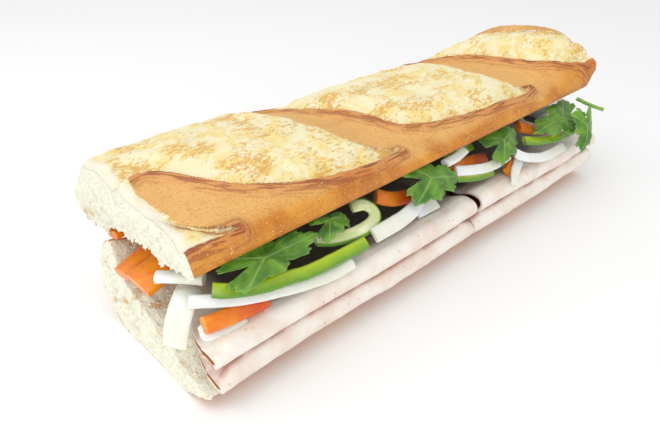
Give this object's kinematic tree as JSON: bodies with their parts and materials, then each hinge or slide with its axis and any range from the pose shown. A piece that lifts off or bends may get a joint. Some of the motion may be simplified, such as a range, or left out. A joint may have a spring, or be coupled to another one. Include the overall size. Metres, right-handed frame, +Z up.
{
  "type": "banh mi sandwich",
  "caption": "Filled baguette sandwich: slashed bread halves hold folded meat slices, carrot, radish and green pepper strips and herb leaves that show along one side.",
  "frame": {"origin": "on the flat underside of the lower bread half, near the middle of the loaf's length", "axes": "+X runs along the loaf away from the near cut end, -Y faces the open side where the filling shows, +Z is up"},
  "size_m": [0.2495, 0.0973, 0.0745],
  "materials": {
    "crust": "baked bread: golden-brown crust with pale open slashes, and cream-white crumb on the cut faces",
    "meat": "pale pink-beige sliced poultry, moist satin",
    "carrot": "wet orange carrot strips",
    "radish": "wet translucent white radish and onion strips",
    "pepper": "glossy green pepper skin over pale flesh",
    "herb": "satin green leaves and stem"
  },
  "bodies": {
    "root": {"bread_bottom": "crust", "bread_top": "crust", "carrot_1": "carrot", "carrot_10": "carrot", "carrot_2": "carrot", "carrot_3": "carrot", "carrot_4": "carrot", "carrot_5": "carrot", "carrot_6": "carrot", "carrot_7": "carrot", "carrot_8": "carrot", "carrot_9": "carrot", "herb_leaf_1": "herb", "herb_leaf_2": "herb", "herb_leaf_3": "herb", "herb_leaf_4": "herb", "herb_leaf_5": "herb", "herb_leaf_6": "herb", "herb_leaf_7": "herb", "herb_stem": "herb", "meat_far_lower": "meat", "meat_far_upper": "meat", "meat_near_lower": "meat", "meat_near_upper": "meat", "pepper_1": "pepper", "pepper_2": "pepper", "pepper_3": "pepper", "pepper_4": "pepper", "pepper_5": "pepper", "pepper_6": "pepper", "radish_1": "radish", "radish_10": "radish", "radish_11": "radish", "radish_12": "radish", "radish_2": "radish", "radish_3": "radish", "radish_4": "radish", "radish_5": "radish", "radish_6": "radish", "radish_7": "radish", "radish_8": "radish", "radish_9": "radish"}
  },
  "joints": []
}
